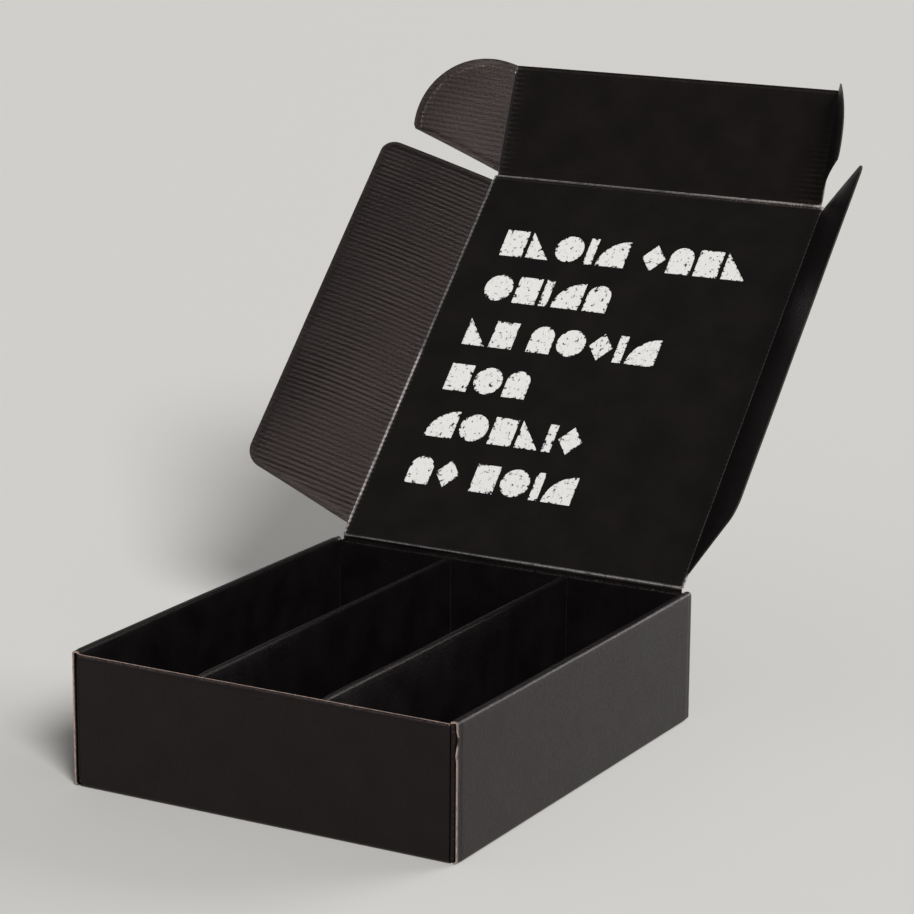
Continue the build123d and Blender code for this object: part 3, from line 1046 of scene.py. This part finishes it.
class GIFTBOX_OT_print(Operator):
    """Prints rows of plain white shapes inside the lid"""
    bl_idname = "giftbox.print"
    bl_label = "Lid print"

    row_left: FloatProperty(name="Left", description="Left end of each row, mm", default=-107.0)
    first_row: FloatProperty(
        name="First row", description="Hinge to the foot of the first row, mm", default=254.5)
    row_step: FloatProperty(name="Row step", description="Distance between two rows, mm", default=40.8)
    height: FloatProperty(name="Height", description="Height of a shape, mm", default=23.5)
    width: FloatProperty(name="Width", description="Full width of a shape, mm", default=19.4)
    gap: FloatProperty(name="Gap", description="Space between two shapes, mm", default=3.2)
    film: FloatProperty(
        name="Ink film", description="Thickness of the ink, drawn thick to stay apart, mm", default=0.03)
    ragged: FloatProperty(
        name="Ragged rim", description="Width of the ragged rim of a shape, mm", default=2.0)

    def execute(self, context):
        sizes = context.scene.box_sizes
        ink = worn_ink("worn_white_screen_print", context.scene.box_colours)
        for number, row in enumerate(PRINTED_ROWS):
            mesh = BoardMesh(sizes)
            foot = self.first_row - number * self.row_step
            left = self.row_left
            for kind, share in row:
                width = self.height if kind in ("disc", "quarter") else self.width * share
                if kind:
                    outline = [(left + u, foot + v) for u, v in printed_shape(kind, width, self.height)]
                    outline_sheet(
                        mesh, outline, LID_FRAME, sizes, columns=6, lift=self.film, layers=1, ridges=LID_RIDGES,
                        edges=ALL_JOINED, wear=lambda u, v: fade(rim_distance(outline, u, v), self.ragged))
                left += width + self.gap
            piece = mesh.finish(f"print_row_{number + 1}", context, body="lid")
            piece.data.materials.clear()
            piece.data.materials.append(ink)
        return {"FINISHED"}


# Floor, light and camera

# Soft lamps: name, where the light comes from, strength and spread in degrees.
LAMPS = (
    ("soft_box_upper_right", (0.62, -0.55, 0.6), 3.0, 20),
    ("soft_box_right_back", (0.5, 0.85, 0.22), 2.4, 45),
)


class GIFTBOX_OT_stage(Operator):
    """Sets the plain floor, the soft lamps and the camera"""
    bl_idname = "giftbox.stage"
    bl_label = "Stage"

    place: FloatVectorProperty(
        name="Place", description="Camera's place, m", size=3, default=(1.0931, -1.8475, 0.7426))
    yaw: FloatProperty(
        name="Yaw", description="Camera's turn to the left of +Y",
        default=math.radians(29.45), subtype="ANGLE")
    pitch: FloatProperty(
        name="Pitch", description="Camera's dip below level", default=math.radians(14.03), subtype="ANGLE")
    roll: FloatProperty(name="Roll", description="Camera's roll", default=math.radians(0.35), subtype="ANGLE")
    lens: FloatProperty(name="Lens", description="Focal length, mm on a 36 mm sensor", default=131.1)
    fill: FloatProperty(name="Fill", description="Strength of the even light from all around", default=0.22)

    def floor(self, context):
        mesh = bpy.data.meshes.new("floor")
        reach_m, below_m = 30.0, 0.0002
        corners = [(x * reach_m, y * reach_m, 0) for x, y in ((-1, -1), (1, -1), (1, 1), (-1, 1))]
        mesh.from_pydata(corners, [], [(0, 1, 2, 3)])
        material, _, surface = new_material("painted_floor")
        surface({"Base Color": context.scene.box_colours.floor, "Roughness": 0.9})
        mesh.materials.append(material)
        floor = bpy.data.objects.new("floor", mesh)
        floor.location.z = -below_m
        context.scene.collection.objects.link(floor)

    def sun(self, context, name, source, strength, spread):
        """Soft light from far away, which falls evenly on the whole floor."""
        light = bpy.data.lights.new(name, "SUN")
        light.energy, light.angle = strength, math.radians(spread)
        lamp = bpy.data.objects.new(name, light)
        lamp.rotation_euler = (-Vector(source)).to_track_quat("-Z", "Y").to_euler()
        context.scene.collection.objects.link(lamp)

    def camera(self, context):
        ahead = Vector((-math.sin(self.yaw) * math.cos(self.pitch), math.cos(self.yaw) * math.cos(self.pitch),
                        -math.sin(self.pitch)))
        level = ahead.cross(Vector((0, 0, 1))).normalized()
        above = level.cross(ahead)
        right = level * math.cos(self.roll) + above * math.sin(self.roll)
        up = above * math.cos(self.roll) - level * math.sin(self.roll)
        lens = bpy.data.cameras.new("camera")
        lens.lens, lens.sensor_width, lens.clip_end = self.lens, 36.0, 100.0
        camera = bpy.data.objects.new("camera", lens)
        turn = Matrix((right, up, -ahead)).transposed().to_4x4()
        camera.matrix_world = Matrix.Translation(Vector(self.place)) @ turn
        context.scene.collection.objects.link(camera)
        context.scene.camera = camera

    def execute(self, context):
        self.floor(context)
        for lamp in LAMPS:
            self.sun(context, *lamp)
        self.camera(context)
        world = bpy.data.worlds.new("studio")
        world.use_nodes = True
        tree = world.node_tree
        set_inputs(tree, tree.nodes["Background"], {"Color": linear("#ffffff"), "Strength": self.fill})
        context.scene.world = world
        context.scene.view_settings.view_transform = "Standard"
        return {"FINISHED"}


class GIFTBOX_PT_panel(Panel):
    """Lists the steps that dress the gift box"""
    bl_idname = "GIFTBOX_PT_panel"
    bl_label = "Bottle Gift Box"
    bl_space_type = "VIEW_3D"
    bl_region_type = "UI"
    bl_category = "Gift Box"

    def draw(self, context):
        for settings in (context.scene.box_sizes, context.scene.box_colours):
            column = self.layout.column()
            for name in settings.__annotations__:
                column.prop(settings, name)
        for operator in OPERATORS:
            self.layout.operator(operator.bl_idname)


OPERATORS = (
    GIFTBOX_OT_tray, GIFTBOX_OT_dividers, GIFTBOX_OT_lid, GIFTBOX_OT_side_flaps, GIFTBOX_OT_front_flap,
    GIFTBOX_OT_ears, GIFTBOX_OT_print, GIFTBOX_OT_stage,
)
CLASSES = (BoardSizes, BoardColours, *OPERATORS, GIFTBOX_PT_panel)


def register():
    for cls in CLASSES:
        bpy.utils.register_class(cls)
    bpy.types.Scene.box_sizes = PointerProperty(type=BoardSizes)
    bpy.types.Scene.box_colours = PointerProperty(type=BoardColours)


def unregister():
    del bpy.types.Scene.box_colours
    del bpy.types.Scene.box_sizes
    for cls in reversed(CLASSES):
        bpy.utils.unregister_class(cls)


def main():
    register()
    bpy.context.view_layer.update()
    bpy.ops.giftbox.tray()
    bpy.ops.giftbox.dividers()
    bpy.ops.giftbox.lid()
    bpy.ops.giftbox.side_flaps()
    bpy.ops.giftbox.front_flap()
    bpy.ops.giftbox.ears()
    bpy.ops.giftbox.print()
    bpy.ops.giftbox.stage()
    bpy.context.view_layer.update()


if __name__ == "__main__":
    main()
